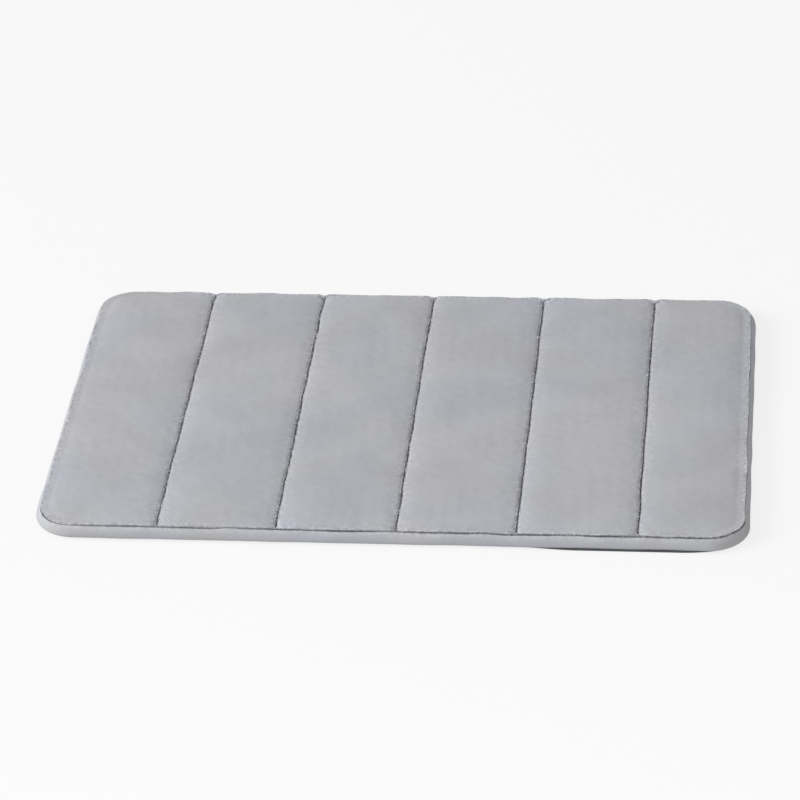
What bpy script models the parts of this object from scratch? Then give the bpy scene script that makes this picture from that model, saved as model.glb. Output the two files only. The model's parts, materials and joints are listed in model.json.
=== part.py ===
"""Quilted foam bath mat: six padded panels in a row, divided by five sewn channels.

Metres, +Z up. The origin is the centre of the underside, X runs along the long side and -Y is
the front edge. Each panel has a piece of pile cover, a strip of foam and a piece of non-slip
backing, and the side band runs round the outside. The mat folds up along its channels, so each
panel hangs from an empty on the line of the stitches that hold it to the next one.
"""
import math

import bmesh
import bpy
from mathutils import Vector

# Plan sizes
LEFT_PANEL_WIDTH = 0.106
PANEL_WIDTH = 0.1005
RIGHT_PANEL_WIDTH = 0.092
MIDDLE_PANELS = 4
MAT_DEPTH = 0.400
CORNER_RADIUS = 0.035

# Thicknesses and heights
BACKING_THICKNESS = 0.0015
FOAM_THICKNESS = 0.0114
COVER_THICKNESS = 0.0015
BAND_THICKNESS = 0.0020
BAND_HEIGHT = 0.0094
COVER_LIP = 0.0010
THREAD_RADIUS = 0.0004

# Fits
CLEARANCE = 0.0003
FOLD_LIMIT = math.radians(50)
FOLD_MARGIN = math.radians(2)

# How the cover falls to a channel and to the outer edge
CHANNEL_HALF_FLOOR = 0.0008
CHANNEL_SLOPE = math.radians(60)
EDGE_SLOPE = math.radians(35)
FOAM_SETBACK = 0.0040

# Where the cover's surface has its rows of points, measured in from a channel or an edge
CHANNEL_STEPS = (0.0035, 0.0080, 0.0180)
EDGE_STEPS = (0.0, 0.0040, 0.0120, 0.0350)
CORNER_SEGMENTS = 6

# Sizes that follow from the ones above
MAT_WIDTH = LEFT_PANEL_WIDTH + MIDDLE_PANELS * PANEL_WIDTH + RIGHT_PANEL_WIDTH
HALF_WIDTH = MAT_WIDTH / 2
HALF_DEPTH = MAT_DEPTH / 2
CHANNELS = [LEFT_PANEL_WIDTH - HALF_WIDTH + i * PANEL_WIDTH for i in range(MIDDLE_PANELS + 1)]
BORDERS = [-HALF_WIDTH, *CHANNELS, HALF_WIDTH]
PANELS = range(1, MIDDLE_PANELS + 3)
ROOT_PANEL = 3
INSIDE_Z = BACKING_THICKNESS + CLEARANCE
CREST_Z = INSIDE_Z + FOAM_THICKNESS + CLEARANCE + COVER_THICKNESS
FLOOR_Z = INSIDE_Z + COVER_THICKNESS
AXIS_Z = FLOOR_Z + CLEARANCE + THREAD_RADIUS
BAND_TOP_Z = INSIDE_Z + BAND_HEIGHT
EDGE_Z = BAND_TOP_Z + COVER_LIP
INNER_INSET = BAND_THICKNESS + CLEARANCE
FOAM_DROP = COVER_THICKNESS + CLEARANCE


def channel_height(distance):
    """Top of the cover at a distance from a channel: a flat floor, then a rise that eases to the crest."""
    rise = CREST_Z - FLOOR_Z
    run = max(distance - CHANNEL_HALF_FLOOR, 0.0)
    return FLOOR_Z + rise * (1 - math.exp(-run * math.tan(CHANNEL_SLOPE) / rise))


def edge_height(distance):
    """Top of the cover at a distance in from its own outer edge."""
    rise = CREST_Z - EDGE_Z
    run = max(distance, 0.0)
    return EDGE_Z + rise * (1 - math.exp(-run * math.tan(EDGE_SLOPE) / rise))


def inside_outline(x, y):
    """Distance from a point to the mat's outline, a rectangle with round corners."""
    across = abs(x) - (HALF_WIDTH - CORNER_RADIUS)
    along = abs(y) - (HALF_DEPTH - CORNER_RADIUS)
    if across > 0 and along > 0:
        return CORNER_RADIUS - math.hypot(across, along)
    return CORNER_RADIUS - max(across, along)


def half_depth(x, inset):
    """Half the depth of the outline, drawn in by inset, at x."""
    across = abs(x) - (HALF_WIDTH - CORNER_RADIUS)
    if across <= 0:
        return HALF_DEPTH - inset
    reach = (CORNER_RADIUS - inset) ** 2 - across**2
    return HALF_DEPTH - CORNER_RADIUS + math.sqrt(max(reach, 0.0))


def nearest_channel(x):
    return min(abs(x - channel) for channel in CHANNELS)


def cover_top(x, y):
    edge = edge_height(inside_outline(x, y) - INNER_INSET)
    return min(channel_height(nearest_channel(x)), edge)


def foam_top(x, y):
    """The cover's shape, drawn in sideways and down by the cover and its clearance."""
    channel = channel_height(nearest_channel(x) - FOAM_DROP * math.sin(CHANNEL_SLOPE))
    edge = edge_height(inside_outline(x, y) - INNER_INSET - FOAM_DROP * math.sin(EDGE_SLOPE))
    return min(channel, edge) - FOAM_DROP


def fold_recess(z):
    """How far a wall keeps back from a channel at height z, so that two panels can fold up."""
    lean = FOLD_LIMIT / 2 + FOLD_MARGIN
    return CLEARANCE / 2 + max(z - AXIS_Z, 0.0) * math.tan(lean)


def corner_columns(inset):
    """Distances of the round corner's points, measured in from the mat's end, outermost first."""
    turns = [math.pi / 2 * i / CORNER_SEGMENTS for i in range(CORNER_SEGMENTS, -1, -1)]
    return [CORNER_RADIUS - (CORNER_RADIUS - inset) * math.sin(turn) for turn in turns]


def columns(panel, inset, channel_steps):
    """The x of each column of points across a panel, from its left border to its right one."""
    left, right = BORDERS[panel - 1], BORDERS[panel]
    at_left = corner_columns(inset) if panel == PANELS[0] else channel_steps
    at_right = corner_columns(inset) if panel == PANELS[-1] else channel_steps
    middle = (left + right) / 2
    return [left + step for step in at_left] + [middle] + [right - step for step in reversed(at_right)]


def rows(x, inset):
    """The y of each row of points at x, from the front edge to the back."""
    reach = half_depth(x, inset)
    back = [reach - step for step in EDGE_STEPS]
    return [-y for y in back] + [0.0] + back[::-1]


def material(name, colour, roughness):
    made = bpy.data.materials.new(name)
    made.use_nodes = True
    shader = made.node_tree.nodes["Principled BSDF"]
    shader.inputs["Base Color"].default_value = (*colour, 1.0)
    shader.inputs["Roughness"].default_value = roughness
    shader.inputs["Metallic"].default_value = 0.0
    made.diffuse_color = (*colour, 1.0)
    return made


def placed_grid(across, along, place):
    """A mesh of across by along points, where place(i, j) says where each one goes."""
    shape = bmesh.new()
    bmesh.ops.create_grid(shape, x_segments=across - 1, y_segments=along - 1, size=0.5)
    for vert in shape.verts:
        i = round((vert.co.x + 0.5) * (across - 1))
        j = round((vert.co.y + 0.5) * (along - 1))
        vert.co = place(i, j)
    return shape


def add_mesh(name, shape, look, panel, smooth=True):
    """Makes the object of a shape in world coordinates, with its origin on its panel's empty."""
    pivot = PIVOTS[panel]
    shape.transform(pivot.matrix_world.inverted())
    mesh = bpy.data.meshes.new(name)
    shape.to_mesh(mesh)
    shape.free()
    if smooth:
        mesh.shade_smooth()
        mesh.set_sharp_from_angle(angle=math.radians(40))
    obj = bpy.data.objects.new(name, mesh)
    mesh.materials.append(look)
    PARTS.objects.link(obj)
    obj.parent = pivot
    return obj


def add_wall(obj, thickness):
    """Gives an open surface its thickness, on the side away from its normals."""
    wall = obj.modifiers.new("thickness", "SOLIDIFY")
    wall.thickness = thickness
    wall.offset = -1
    wall.use_even_offset = True


def add_cover(panel):
    steps = (CLEARANCE / 2, CHANNEL_HALF_FLOOR, *CHANNEL_STEPS)
    xs = columns(panel, INNER_INSET, steps)

    def place(i, j):
        x, y = xs[i], rows(xs[i], INNER_INSET)[j]
        return Vector((x, y, cover_top(x, y)))

    shape = placed_grid(len(xs), 2 * len(EDGE_STEPS) + 1, place)
    cover = add_mesh(f"top_cover_{panel}", shape, COVER_LOOK, panel)
    add_wall(cover, COVER_THICKNESS)


def add_slab(name, panel, inset, channel_steps, bottom, top_at, look):
    """A solid with a flat underside: its outline is raised, and the raised face takes its heights."""
    xs = columns(panel, inset, channel_steps)

    def place(i, j):
        return Vector((xs[i], rows(xs[i], inset)[j], bottom))

    shape = placed_grid(len(xs), 2 * len(EDGE_STEPS) + 1, place)
    raised = bmesh.ops.extrude_face_region(shape, geom=shape.faces[:])
    for vert in raised["geom"]:
        if isinstance(vert, bmesh.types.BMVert):
            vert.co.z = top_at(vert.co.x, vert.co.y)
    bmesh.ops.recalc_face_normals(shape, faces=shape.faces)
    add_mesh(name, shape, look, panel)


def add_foam(panel):
    steps = (FOAM_SETBACK, *CHANNEL_STEPS[1:])
    add_slab(f"foam_core_{panel}", panel, INNER_INSET, steps, INSIDE_Z, foam_top, FOAM_LOOK)


def add_backing(panel):
    def flat(x, y):
        return BACKING_THICKNESS

    add_slab(f"backing_{panel}", panel, 0.0, (CLEARANCE / 2,), 0.0, flat, BACKING_LOOK)


def front_path(panel, inset):
    """Points along the outline on the front edge of a panel, left to right."""
    left, right = BORDERS[panel - 1], BORDERS[panel]
    y = -HALF_DEPTH + inset
    return [Vector((left, y, 0.0)), Vector((right, y, 0.0))]


def end_path(inset):
    """Points round the right end of the mat, from the last channel's front to its back."""
    radius = CORNER_RADIUS - inset
    centre_x = HALF_WIDTH - CORNER_RADIUS
    centre_y = HALF_DEPTH - CORNER_RADIUS
    turns = [math.pi / 2 * i / CORNER_SEGMENTS for i in range(CORNER_SEGMENTS + 1)]
    corner = [Vector((centre_x + radius * math.sin(t), centre_y + radius * math.cos(t), 0.0)) for t in turns]
    front = [Vector((point.x, -point.y, 0.0)) for point in corner]
    start = Vector((CHANNELS[-1], -HALF_DEPTH + inset, 0.0))
    finish = Vector((CHANNELS[-1], HALF_DEPTH - inset, 0.0))
    return [start, *front, *reversed(corner), finish]


def turned_round(points, end_x):
    """The same points turned half round the mat's centre, with both ends moved to end_x."""
    turned = [Vector((-point.x, -point.y, 0.0)) for point in points]
    turned[0].x = end_x
    turned[-1].x = end_x
    return turned


def edge_runs(inset):
    """Each run of the outline that lies on one panel: its name, its panel and its points."""
    found = [("left", PANELS[0], turned_round(end_path(inset), CHANNELS[0]))]
    found.append(("right", PANELS[-1], end_path(inset)))
    for panel in PANELS[1:-1]:
        front = front_path(panel, inset)
        back = [Vector((point.x, -point.y, 0.0)) for point in reversed(front)]
        found.append((f"front_{panel}", panel, front))
        found.append((f"back_{panel}", panel, back))
    return found


def held_back(points, z):
    """A run's points at height z, with its two ends kept back from the channels."""
    level = [Vector((point.x, point.y, z)) for point in points]
    recess = fold_recess(z)
    level[0].x += math.copysign(recess, points[1].x - points[0].x)
    level[-1].x += math.copysign(recess, points[-2].x - points[-1].x)
    return level


def add_bands():
    """The side band: a strip of cover cloth on edge, from the backing up to the top seam."""
    for side, panel, points in edge_runs(0.0):
        levels = [held_back(points, z) for z in (INSIDE_Z, AXIS_Z, BAND_TOP_Z)]
        shape = placed_grid(len(points), len(levels), lambda i, j: levels[j][i])
        band = add_mesh(f"side_band_{side}", shape, BAND_LOOK, panel)
        add_wall(band, BAND_THICKNESS)


def add_thread(name, points, panel):
    curve = bpy.data.curves.new(name, "CURVE")
    curve.dimensions = "3D"
    curve.bevel_depth = THREAD_RADIUS
    curve.bevel_resolution = 1
    curve.use_fill_caps = True
    line = curve.splines.new("POLY")
    line.points.add(len(points) - 1)
    pivot = PIVOTS[panel]
    for spot, point in zip(line.points, points):
        spot.co = (*(point - pivot.matrix_world.translation), 1.0)
    curve.materials.append(THREAD_LOOK)
    obj = bpy.data.objects.new(name, curve)
    PARTS.objects.link(obj)
    obj.parent = pivot


def add_threads():
    """The stitches along each channel, and those that join the cover to the side band."""
    seam_z = BAND_TOP_Z + CLEARANCE + THREAD_RADIUS
    for side, panel, points in edge_runs(BAND_THICKNESS / 2):
        add_thread(f"edge_thread_{side}", held_back(points, seam_z), panel)
    end_y = HALF_DEPTH - INNER_INSET
    for left_panel, x in enumerate(CHANNELS, 1):
        ends = [Vector((x, -end_y, AXIS_Z)), Vector((x, end_y, AXIS_Z))]
        add_thread(f"channel_thread_{left_panel}", ends, left_panel)


def add_pivot(panel, spot, parent):
    """An empty on the line of a panel's joint, at world position spot."""
    empty = bpy.data.objects.new(f"pivot_{panel}", None)
    empty.empty_display_size = PANEL_WIDTH / 4
    PARTS.objects.link(empty)
    empty.parent = parent
    empty.location = spot - parent.matrix_world.translation if parent else spot
    bpy.context.view_layer.update()
    return empty


def add_pivots():
    """The root panel's empty, then a chain of them outwards, each on the channel before its panel."""
    lines = [Vector((x, 0.0, AXIS_Z)) for x in CHANNELS]
    made = {ROOT_PANEL: add_pivot(ROOT_PANEL, lines[ROOT_PANEL - 1], None)}
    for panel in range(ROOT_PANEL - 1, 0, -1):
        made[panel] = add_pivot(panel, lines[panel - 1], made[panel + 1])
    for panel in range(ROOT_PANEL + 1, PANELS[-1] + 1):
        made[panel] = add_pivot(panel, lines[panel - 2], made[panel - 1])
    return made


for old in list(bpy.data.objects):
    bpy.data.objects.remove(old, do_unlink=True)

PARTS = bpy.data.collections.new("bath_mat")
bpy.context.scene.collection.children.link(PARTS)

COVER_LOOK = material("cover_velvet", (0.43, 0.435, 0.46), 0.95)
BAND_LOOK = material("band_velvet", (0.40, 0.40, 0.43), 0.95)
FOAM_LOOK = material("foam", (0.80, 0.76, 0.62), 0.90)
BACKING_LOOK = material("non_slip_backing", (0.26, 0.27, 0.29), 0.80)
THREAD_LOOK = material("thread", (0.33, 0.335, 0.355), 0.70)

PIVOTS = add_pivots()
for number in PANELS:
    add_cover(number)
    add_foam(number)
    add_backing(number)
add_bands()
add_threads()
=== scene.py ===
# %% [markdown]
# # A quilted foam bath mat
#
# The mat is six padded panels in a row. A velvet cover is sewn down through a sheet of foam in
# five straight lines, a strip of the same velvet runs round the side, and a cloth with rubbery
# dots closes the underside. This lesson loads the working model first, and then makes each
# visible surface as a function of two numbers, computed with numpy for all points at once.

# %% Load the working model
import json
import math

import bmesh
import bpy
import numpy as np
from mathutils import Matrix, Vector


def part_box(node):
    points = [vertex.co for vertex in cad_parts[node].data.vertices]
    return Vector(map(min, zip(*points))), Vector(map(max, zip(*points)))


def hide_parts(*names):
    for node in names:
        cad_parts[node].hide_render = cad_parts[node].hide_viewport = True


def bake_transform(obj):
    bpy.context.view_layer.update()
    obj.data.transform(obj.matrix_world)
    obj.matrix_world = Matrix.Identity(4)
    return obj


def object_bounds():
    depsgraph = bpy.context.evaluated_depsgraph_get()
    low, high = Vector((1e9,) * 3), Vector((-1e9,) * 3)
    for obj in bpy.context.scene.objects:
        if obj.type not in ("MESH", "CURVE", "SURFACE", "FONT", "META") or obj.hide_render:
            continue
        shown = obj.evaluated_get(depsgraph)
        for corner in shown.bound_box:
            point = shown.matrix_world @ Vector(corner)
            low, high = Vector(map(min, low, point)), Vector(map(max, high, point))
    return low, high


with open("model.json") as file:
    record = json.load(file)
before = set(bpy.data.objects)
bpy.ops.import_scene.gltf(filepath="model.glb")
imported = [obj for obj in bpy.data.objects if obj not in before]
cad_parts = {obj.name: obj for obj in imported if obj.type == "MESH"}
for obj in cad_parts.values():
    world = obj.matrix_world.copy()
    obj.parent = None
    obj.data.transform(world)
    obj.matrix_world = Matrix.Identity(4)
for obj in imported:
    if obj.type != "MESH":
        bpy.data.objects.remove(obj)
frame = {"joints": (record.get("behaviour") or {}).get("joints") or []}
cad_low, cad_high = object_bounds()
print("working model:", [round(side, 4) for side in cad_high - cad_low], "m")

# %% [markdown]
# ## Where things are
#
# Every place is read from the working model: the joints give the sewn channels, and the boxes of
# the nodes give the seams and the layers. Only the corner's radius is repeated here, because a
# box can't tell it. Units are metres.

# %% Read the sizes
folds = sorted(frame["joints"], key=lambda joint: joint["pos_m"][0])
CHANNELS = np.array([fold["pos_m"][0] for fold in folds])
STITCH_Z = folds[0]["pos_m"][2]
HALF_WIDTH = cad_high.x
HALF_DEPTH = cad_high.y
CREST_Z = cad_high.z
SEAM_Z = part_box("side_band_front_3")[1].z
BACKING_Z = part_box("backing_3")[1].z
CORNER_RADIUS = 0.035
PANEL_MIDDLES = (CHANNELS[1:] + CHANNELS[:-1]) / 2
BORDERS = np.concatenate([[-HALF_WIDTH], PANEL_MIDDLES, [HALF_WIDTH]])
print("channels at", np.round(CHANNELS, 4), "seam at", round(SEAM_Z, 4), "crest at", round(CREST_Z, 4))

# %% [markdown]
# ## Tools for surfaces
#
# A surface here is a grid of points. These helpers turn arrays into a mesh, space the grid lines
# closely where the shape turns sharply, and give a smooth random ripple that is the same on each
# run, because real cloth is never quite even.


# %% Arrays into meshes
def smooth_step(t):
    """0 below 0, 1 above 1, and three t squared less two t cubed between."""
    t = np.clip(t, 0.0, 1.0)
    return t * t * (3.0 - 2.0 * t)


def grid_quads(along, across, first=0):
    """Corner numbers of the quads of a grid with along rows of across points."""
    start = first + np.arange(along * across).reshape(along, across)
    corners = [start[:-1, :-1], start[:-1, 1:], start[1:, 1:], start[1:, :-1]]
    return np.stack(corners, axis=-1).reshape(-1, 4)


def end_caps(rows, columns):
    """The first and the last row of a grid as two faces, which close the ends of a form."""
    row = np.arange(columns)
    return [row, (rows - 1) * columns + row[::-1]]


def closed_quads(rows, columns):
    """A grid's quads, and below it one strip for each row, from its first point to its last."""
    first = np.arange(rows) * columns
    last = first + columns - 1
    strips = np.stack([first[:-1], last[:-1], last[1:], first[1:]], axis=-1)
    return np.concatenate([grid_quads(rows, columns), strips])


def put(name, data):
    """An object for a mesh, a lamp or a camera, in the scene."""
    made = bpy.data.objects.new(name, data)
    bpy.context.scene.collection.objects.link(made)
    return made


def make_mesh(name, points, quads, finish, extra=()):
    """A smooth mesh object from an array of points, an array of quads and some larger faces."""
    sizes = np.concatenate([np.full(len(quads), 4), [len(face) for face in extra]]).astype(np.int32)
    corners = np.concatenate([quads.ravel(), *extra]).astype(np.int32)
    mesh = bpy.data.meshes.new(name)
    mesh.vertices.add(len(points))
    mesh.vertices.foreach_set("co", np.asarray(points, np.float32).ravel())
    mesh.loops.add(len(corners))
    mesh.loops.foreach_set("vertex_index", corners)
    mesh.polygons.add(len(sizes))
    starts = np.concatenate([[0], np.cumsum(sizes)[:-1]]).astype(np.int32)
    mesh.polygons.foreach_set("loop_start", starts)
    mesh.polygons.foreach_set("use_smooth", np.ones(len(sizes), bool))
    mesh.update(calc_edges=True)
    mesh.validate()
    mesh.materials.append(finish)
    piece = put(name, mesh)
    face_outwards(piece)
    return piece


def face_outwards(piece):
    """Turns all faces of a closed form outwards."""
    form = bmesh.new()
    form.from_mesh(piece.data)
    bmesh.ops.recalc_face_normals(form, faces=form.faces)
    form.to_mesh(piece.data)
    form.free()
    piece.data.update()


def grid_normals(points, wrap=False):
    """Unit normals of a grid of points: the cross product of its two central differences."""
    along = np.gradient(points, axis=0)
    if wrap:
        across = np.roll(points, -1, axis=1) - np.roll(points, 1, axis=1)
    else:
        across = np.gradient(points, axis=1)
    normal = np.cross(along, across)
    return normal / np.maximum(np.linalg.norm(normal, axis=-1, keepdims=True), 1e-12)


def shade_by(piece, normals):
    """Gives a piece these vertex normals, turned the way its faces point, so that neighbours join unseen."""
    own = np.zeros(len(piece.data.vertices) * 3, np.float32)
    piece.data.vertices.foreach_get("normal", own)
    if (own.reshape(-1, 3) * normals).sum() < 0:
        normals = -normals
    piece.data.normals_split_custom_set_from_vertices(normals.astype(np.float32))


def graded(length, fine, coarse, growth=1.15):
    """Places from 0 to length, whose steps start at fine and grow by a fixed ratio up to coarse."""
    counts = np.arange(int(length / fine) + 2)
    steps = np.minimum(fine * growth ** np.minimum(counts, 60), coarse)
    places = np.concatenate([[0.0], np.cumsum(steps)])
    places = places[: np.searchsorted(places, length - coarse / 2) + 1]
    return places * length / places[-1]


def graded_both(length, fine, coarse, other_fine=None, growth=1.15):
    """Places from 0 to length that are close together at both ends."""
    start = graded(length / 2, fine, coarse, growth)
    finish = length - graded(length / 2, other_fine or fine, coarse, 1.08)
    return np.concatenate([start, finish[-2::-1]])


def ripple(x, y, wavelength, seed, waves=18):
    """A sum of cosines in random directions, each about one wavelength long; its usual size is 1."""
    draw = np.random.default_rng(seed)
    total = np.zeros(np.broadcast(x, y).shape)
    for _ in range(waves):
        turn, phase, stretch = draw.uniform((0, 0, 0.7), (math.pi, 2 * math.pi, 1.5))
        number = 2 * math.pi / (wavelength * stretch)
        total += np.cos(number * (x * math.cos(turn) + y * math.sin(turn)) + phase)
    return total * math.sqrt(2.0 / waves)


print("a graded run has", len(graded_both(0.1, 0.0004, 0.0015)), "lines in 100 mm")

# %% [markdown]
# ## Finishes
#
# Short velvet pile scatters light in every direction, shows a pale rim where the pile stands
# against the light, and is never one even grey: hands and folding lay the nap this way and that,
# which leaves cloudy patches a few centimetres across. Inside each patch the pile has a fine
# grain. So the colour is mixed from two soft noises, and the grain is a bump about as deep as
# the pile. All patterns use Object coordinates, so that they run on across neighbouring pieces.


# %% Node helpers
def new_finish(name):
    """A material, its Principled shader, and a function that adds a node."""
    finish = bpy.data.materials.new(name)
    finish.use_nodes = True
    tree = finish.node_tree
    shader = tree.nodes["Principled BSDF"]

    def add(kind, inputs=None, **settings):
        """A node with these settings; each input is linked to a socket or set to a value."""
        node = tree.nodes.new(kind)
        for key, value in settings.items():
            setattr(node, key, value)
        for key, value in (inputs or {}).items():
            if isinstance(value, bpy.types.NodeSocket):
                tree.links.new(value, node.inputs[key])
            else:
                node.inputs[key].default_value = value
        return node

    return finish, tree, shader, add


def noise_on(add, place, scale, detail=2.0, roughness=0.5, distortion=0.0):
    """Soft noise with this many cells per metre."""
    inputs = {"Vector": place, "Scale": scale, "Detail": detail, "Roughness": roughness}
    return add("ShaderNodeTexNoise", {**inputs, "Distortion": distortion}).outputs["Fac"]


def ramp(add, value, stops):
    """A colour ramp with (position, colour) stops."""
    node = add("ShaderNodeValToRGB", {"Fac": value})
    marks = node.color_ramp.elements
    while len(marks) < len(stops):
        marks.new(0.5)
    for mark, (position, colour) in zip(marks, stops):
        mark.position = position
        mark.color = (*colour, 1.0)
    return node.outputs["Color"]


def set_inputs(shader, values):
    """Sets constants on a shader's own sockets."""
    for key, value in values.items():
        shader.inputs[key].default_value = value


def link_surface(tree, shader, colour, relief):
    """Leads a colour and the normals of a bump into a shader."""
    tree.links.new(colour, shader.inputs["Base Color"])
    tree.links.new(relief.outputs["Normal"], shader.inputs["Normal"])


def times(add, first, second, share=1.0):
    """The first colour, multiplied by the second as far as the share, from 0 to 1, says."""
    inputs = {"Factor": share, "A": first, "B": second}
    return add("ShaderNodeMix", inputs, data_type="RGBA", blend_type="MULTIPLY").outputs["Result"]


# %% Velvet
def velvet(name, shade, patch_depth, grain_depth, crush_and_painted_shades, sheen):
    """Short pile: cloudy nap, fine grain, sheen at glancing angles and a pile-deep bump.

    Where the mesh is marked, the colour is multiplied by blotches between three levels: crush of the pile,
    and painted shade and painted highlight near the sewn lines and the seam.
    """
    finish, tree, shader, add = new_finish(name)
    place = add("ShaderNodeTexCoord").outputs["Object"]
    cloud = noise_on(add, place, 14.0, 3.0, 0.55, 0.6)
    tint = noise_on(add, place, 9.0, 2.0, 0.5, 0.3)
    grain = noise_on(add, place, 1100.0, 3.0, 0.65)
    fleck = noise_on(add, place, 260.0, 2.0, 0.6)
    base = np.array(shade)
    cool = base * (0.985, 0.985, 1.035)
    warm = base * (1.02, 0.995, 0.99)
    hue = ramp(add, tint, [(0.38, cool), (0.5, base), (0.62, warm)])
    low, high = 1.0 - patch_depth, 1.0 + patch_depth
    patch = ramp(add, cloud, [(0.36, (low,) * 3), (0.64, (high,) * 3)])
    dark, pale = 1.0 - grain_depth, 1.0 + grain_depth
    specks = ramp(add, grain, [(0.3, (dark,) * 3), (0.7, (pale,) * 3)])
    # Blotches where the mesh is marked: pile crush, partly painted shade and painted highlight.
    blotch = noise_on(add, place, 300.0, 3.0, 0.7)
    crush_and_painted_blotch = ramp(add, blotch, [(at, (much,) * 3) for at, much in zip((0.36, 0.5, 0.64), crush_and_painted_shades)])
    near = add("ShaderNodeAttribute", attribute_name="crushed_pile", attribute_type="GEOMETRY")
    whole = times(add, times(add, hue, patch), specks)
    crush_and_painted_colour = times(add, whole, crush_and_painted_blotch, near.outputs["Fac"])
    pile = add("ShaderNodeBump", {"Height": grain, "Strength": 0.25, "Distance": 0.0006})
    nap = add("ShaderNodeBump", {"Height": fleck, "Strength": 0.20, "Distance": 0.0008})
    tree.links.new(pile.outputs["Normal"], nap.inputs["Normal"])
    link_surface(tree, shader, crush_and_painted_colour, nap)
    set_inputs(shader, {"Roughness": 0.92, "Specular IOR Level": 0.15})
    rim = {"Sheen Weight": sheen, "Sheen Roughness": 0.45, "Sheen Tint": (0.9, 0.9, 0.95, 1.0)}
    set_inputs(shader, rim)
    return finish


def plain_finish(name, shade, roughness, scale, depth, specular=0.3):
    """A matt material whose colour and bump follow one fine noise."""
    finish, tree, shader, add = new_finish(name)
    place = add("ShaderNodeTexCoord").outputs["Object"]
    grain = noise_on(add, place, scale, 3.0, 0.6)
    base = np.array(shade)
    colour = ramp(add, grain, [(0.3, base * 0.82), (0.7, base * 1.15)])
    bump = add("ShaderNodeBump", {"Height": grain, "Strength": 0.4, "Distance": depth})
    link_surface(tree, shader, colour, bump)
    set_inputs(shader, {"Roughness": roughness, "Specular IOR Level": specular})
    return finish


def knitted(name, shade):
    """Backing cloth: two crossed waves make the ribs and courses of a fine knit."""
    finish, tree, shader, add = new_finish(name)
    place = add("ShaderNodeTexCoord").outputs["Object"]
    waves = []
    for way, scale, distortion in (("X", 330.0, 0.6), ("Y", 260.0, 0.9)):
        inputs = {"Vector": place, "Scale": scale, "Distortion": distortion}
        waves.append(add("ShaderNodeTexWave", inputs, bands_direction=way).outputs["Fac"])
    knit = add("ShaderNodeMath", {0: waves[0], 1: waves[1]}, operation="MULTIPLY")
    base = np.array(shade)
    colour = ramp(add, knit.outputs["Value"], [(0.0, base * 0.7), (0.8, base * 1.25)])
    bump = add("ShaderNodeBump", {"Height": knit.outputs["Value"], "Strength": 0.6, "Distance": 0.0003})
    link_surface(tree, shader, colour, bump)
    set_inputs(shader, {"Roughness": 0.85})
    return finish


# The cover's blotches go darker and paler near the sewn lines and the seam: pile crush, and painted shade and
# painted highlight.
COVER_VELVET = velvet("cover_velvet", (0.355, 0.360, 0.379), 0.045, 0.06, (0.70, 1.03, 1.42), 0.25)
# The band's blotches only lighten: a painted highlight along its top, under the seam.
BAND_VELVET = velvet("band_velvet", (0.340, 0.345, 0.360), 0.02, 0.05, (1.02, 1.25, 1.55), 0.08)
THREAD = plain_finish("sewing_thread", (0.36, 0.365, 0.385), 0.6, 2500.0, 0.0001)
BACKING = knitted("backing_knit", (0.085, 0.088, 0.095))
RUBBER = plain_finish("grip_rubber", (0.05, 0.052, 0.056), 0.45, 900.0, 0.00005, 0.5)
print("finishes:", [finish.name for finish in (COVER_VELVET, BAND_VELVET, THREAD, BACKING, RUBBER)])

# %% [markdown]
# ## The plan of the mat
#
# The outline is a rectangle with round corners. A square grid fits it if each corner of the grid
# is pressed into a quarter disc: a point a across and b along from the disc's centre, for a
# radius R, goes to a times the root of (1 - b b / 2 R R), and b likewise. Distances to the
# outline are then worked out exactly, so the grid only decides where the points are.


# %% Outline
def round_corners(x, y):
    """Moves points of the full rectangle so that its corners become round."""
    a = np.clip(np.abs(x) - (HALF_WIDTH - CORNER_RADIUS), 0.0, CORNER_RADIUS)
    b = np.clip(np.abs(y) - (HALF_DEPTH - CORNER_RADIUS), 0.0, CORNER_RADIUS)
    pressed_a = a * np.sqrt(1.0 - b**2 / (2 * CORNER_RADIUS**2))
    pressed_b = b * np.sqrt(1.0 - a**2 / (2 * CORNER_RADIUS**2))
    return x + np.sign(x) * (pressed_a - a), y + np.sign(y) * (pressed_b - b)


def inside_outline(x, y):
    """Distance to the outline, and the x and y of the direction straight in from it."""
    across = np.abs(x) - (HALF_WIDTH - CORNER_RADIUS)
    along = np.abs(y) - (HALF_DEPTH - CORNER_RADIUS)
    in_corner = (across > 0) & (along > 0)
    reach = np.hypot(across, along)
    distance = CORNER_RADIUS - np.where(in_corner, reach, np.maximum(across, along))
    safe = np.maximum(reach, 1e-9)
    toward_x = np.where(in_corner, across / safe, across >= along)
    toward_y = np.where(in_corner, along / safe, across < along)
    return distance, -np.sign(x) * toward_x, -np.sign(y) * toward_y


print("middle of the mat to the outline:", round(float(inside_outline(0.0, 0.0)[0]), 3), "m")

# %% [markdown]
# ## Letting the foam press on the cover
#
# Sewn foam presses its cover from inside, and the cloth settles where its threads hold it. A
# coarse closed copy of the cover is inflated by a cloth simulation, held at the sewn lines and
# at the seam. What each point moved is kept as a smooth field over the plan. Air would make
# pillows of the panels, and foam is far stiffer and has a flat face, so only a small share of
# the movement is kept, and its size is capped softly.


# %% Cubic field over the plan
def cubic_weights(t):
    """Catmull-Rom weights of the four neighbours of a fractional place t between the middle two."""
    return np.stack([-t + 2 * t**2 - t**3, 2 - 5 * t**2 + 3 * t**3, t + 4 * t**2 - 3 * t**3, t**3 - t**2]) / 2


def sample_field(field, u, v):
    """The field's value at fractional rows u and columns v, from four by four neighbours."""
    row, column = np.floor(u).astype(int), np.floor(v).astype(int)
    across, along = cubic_weights(u - row), cubic_weights(v - column)
    total = np.zeros(u.shape + field.shape[2:])
    for i in range(4):
        for j in range(4):
            rows = np.clip(row + i - 1, 0, field.shape[0] - 1)
            columns = np.clip(column + j - 1, 0, field.shape[1] - 1)
            total += (across[i] * along[j])[..., None] * field[rows, columns]
    return total


PUFF = {"field": None, "x": None, "y": None}


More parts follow.
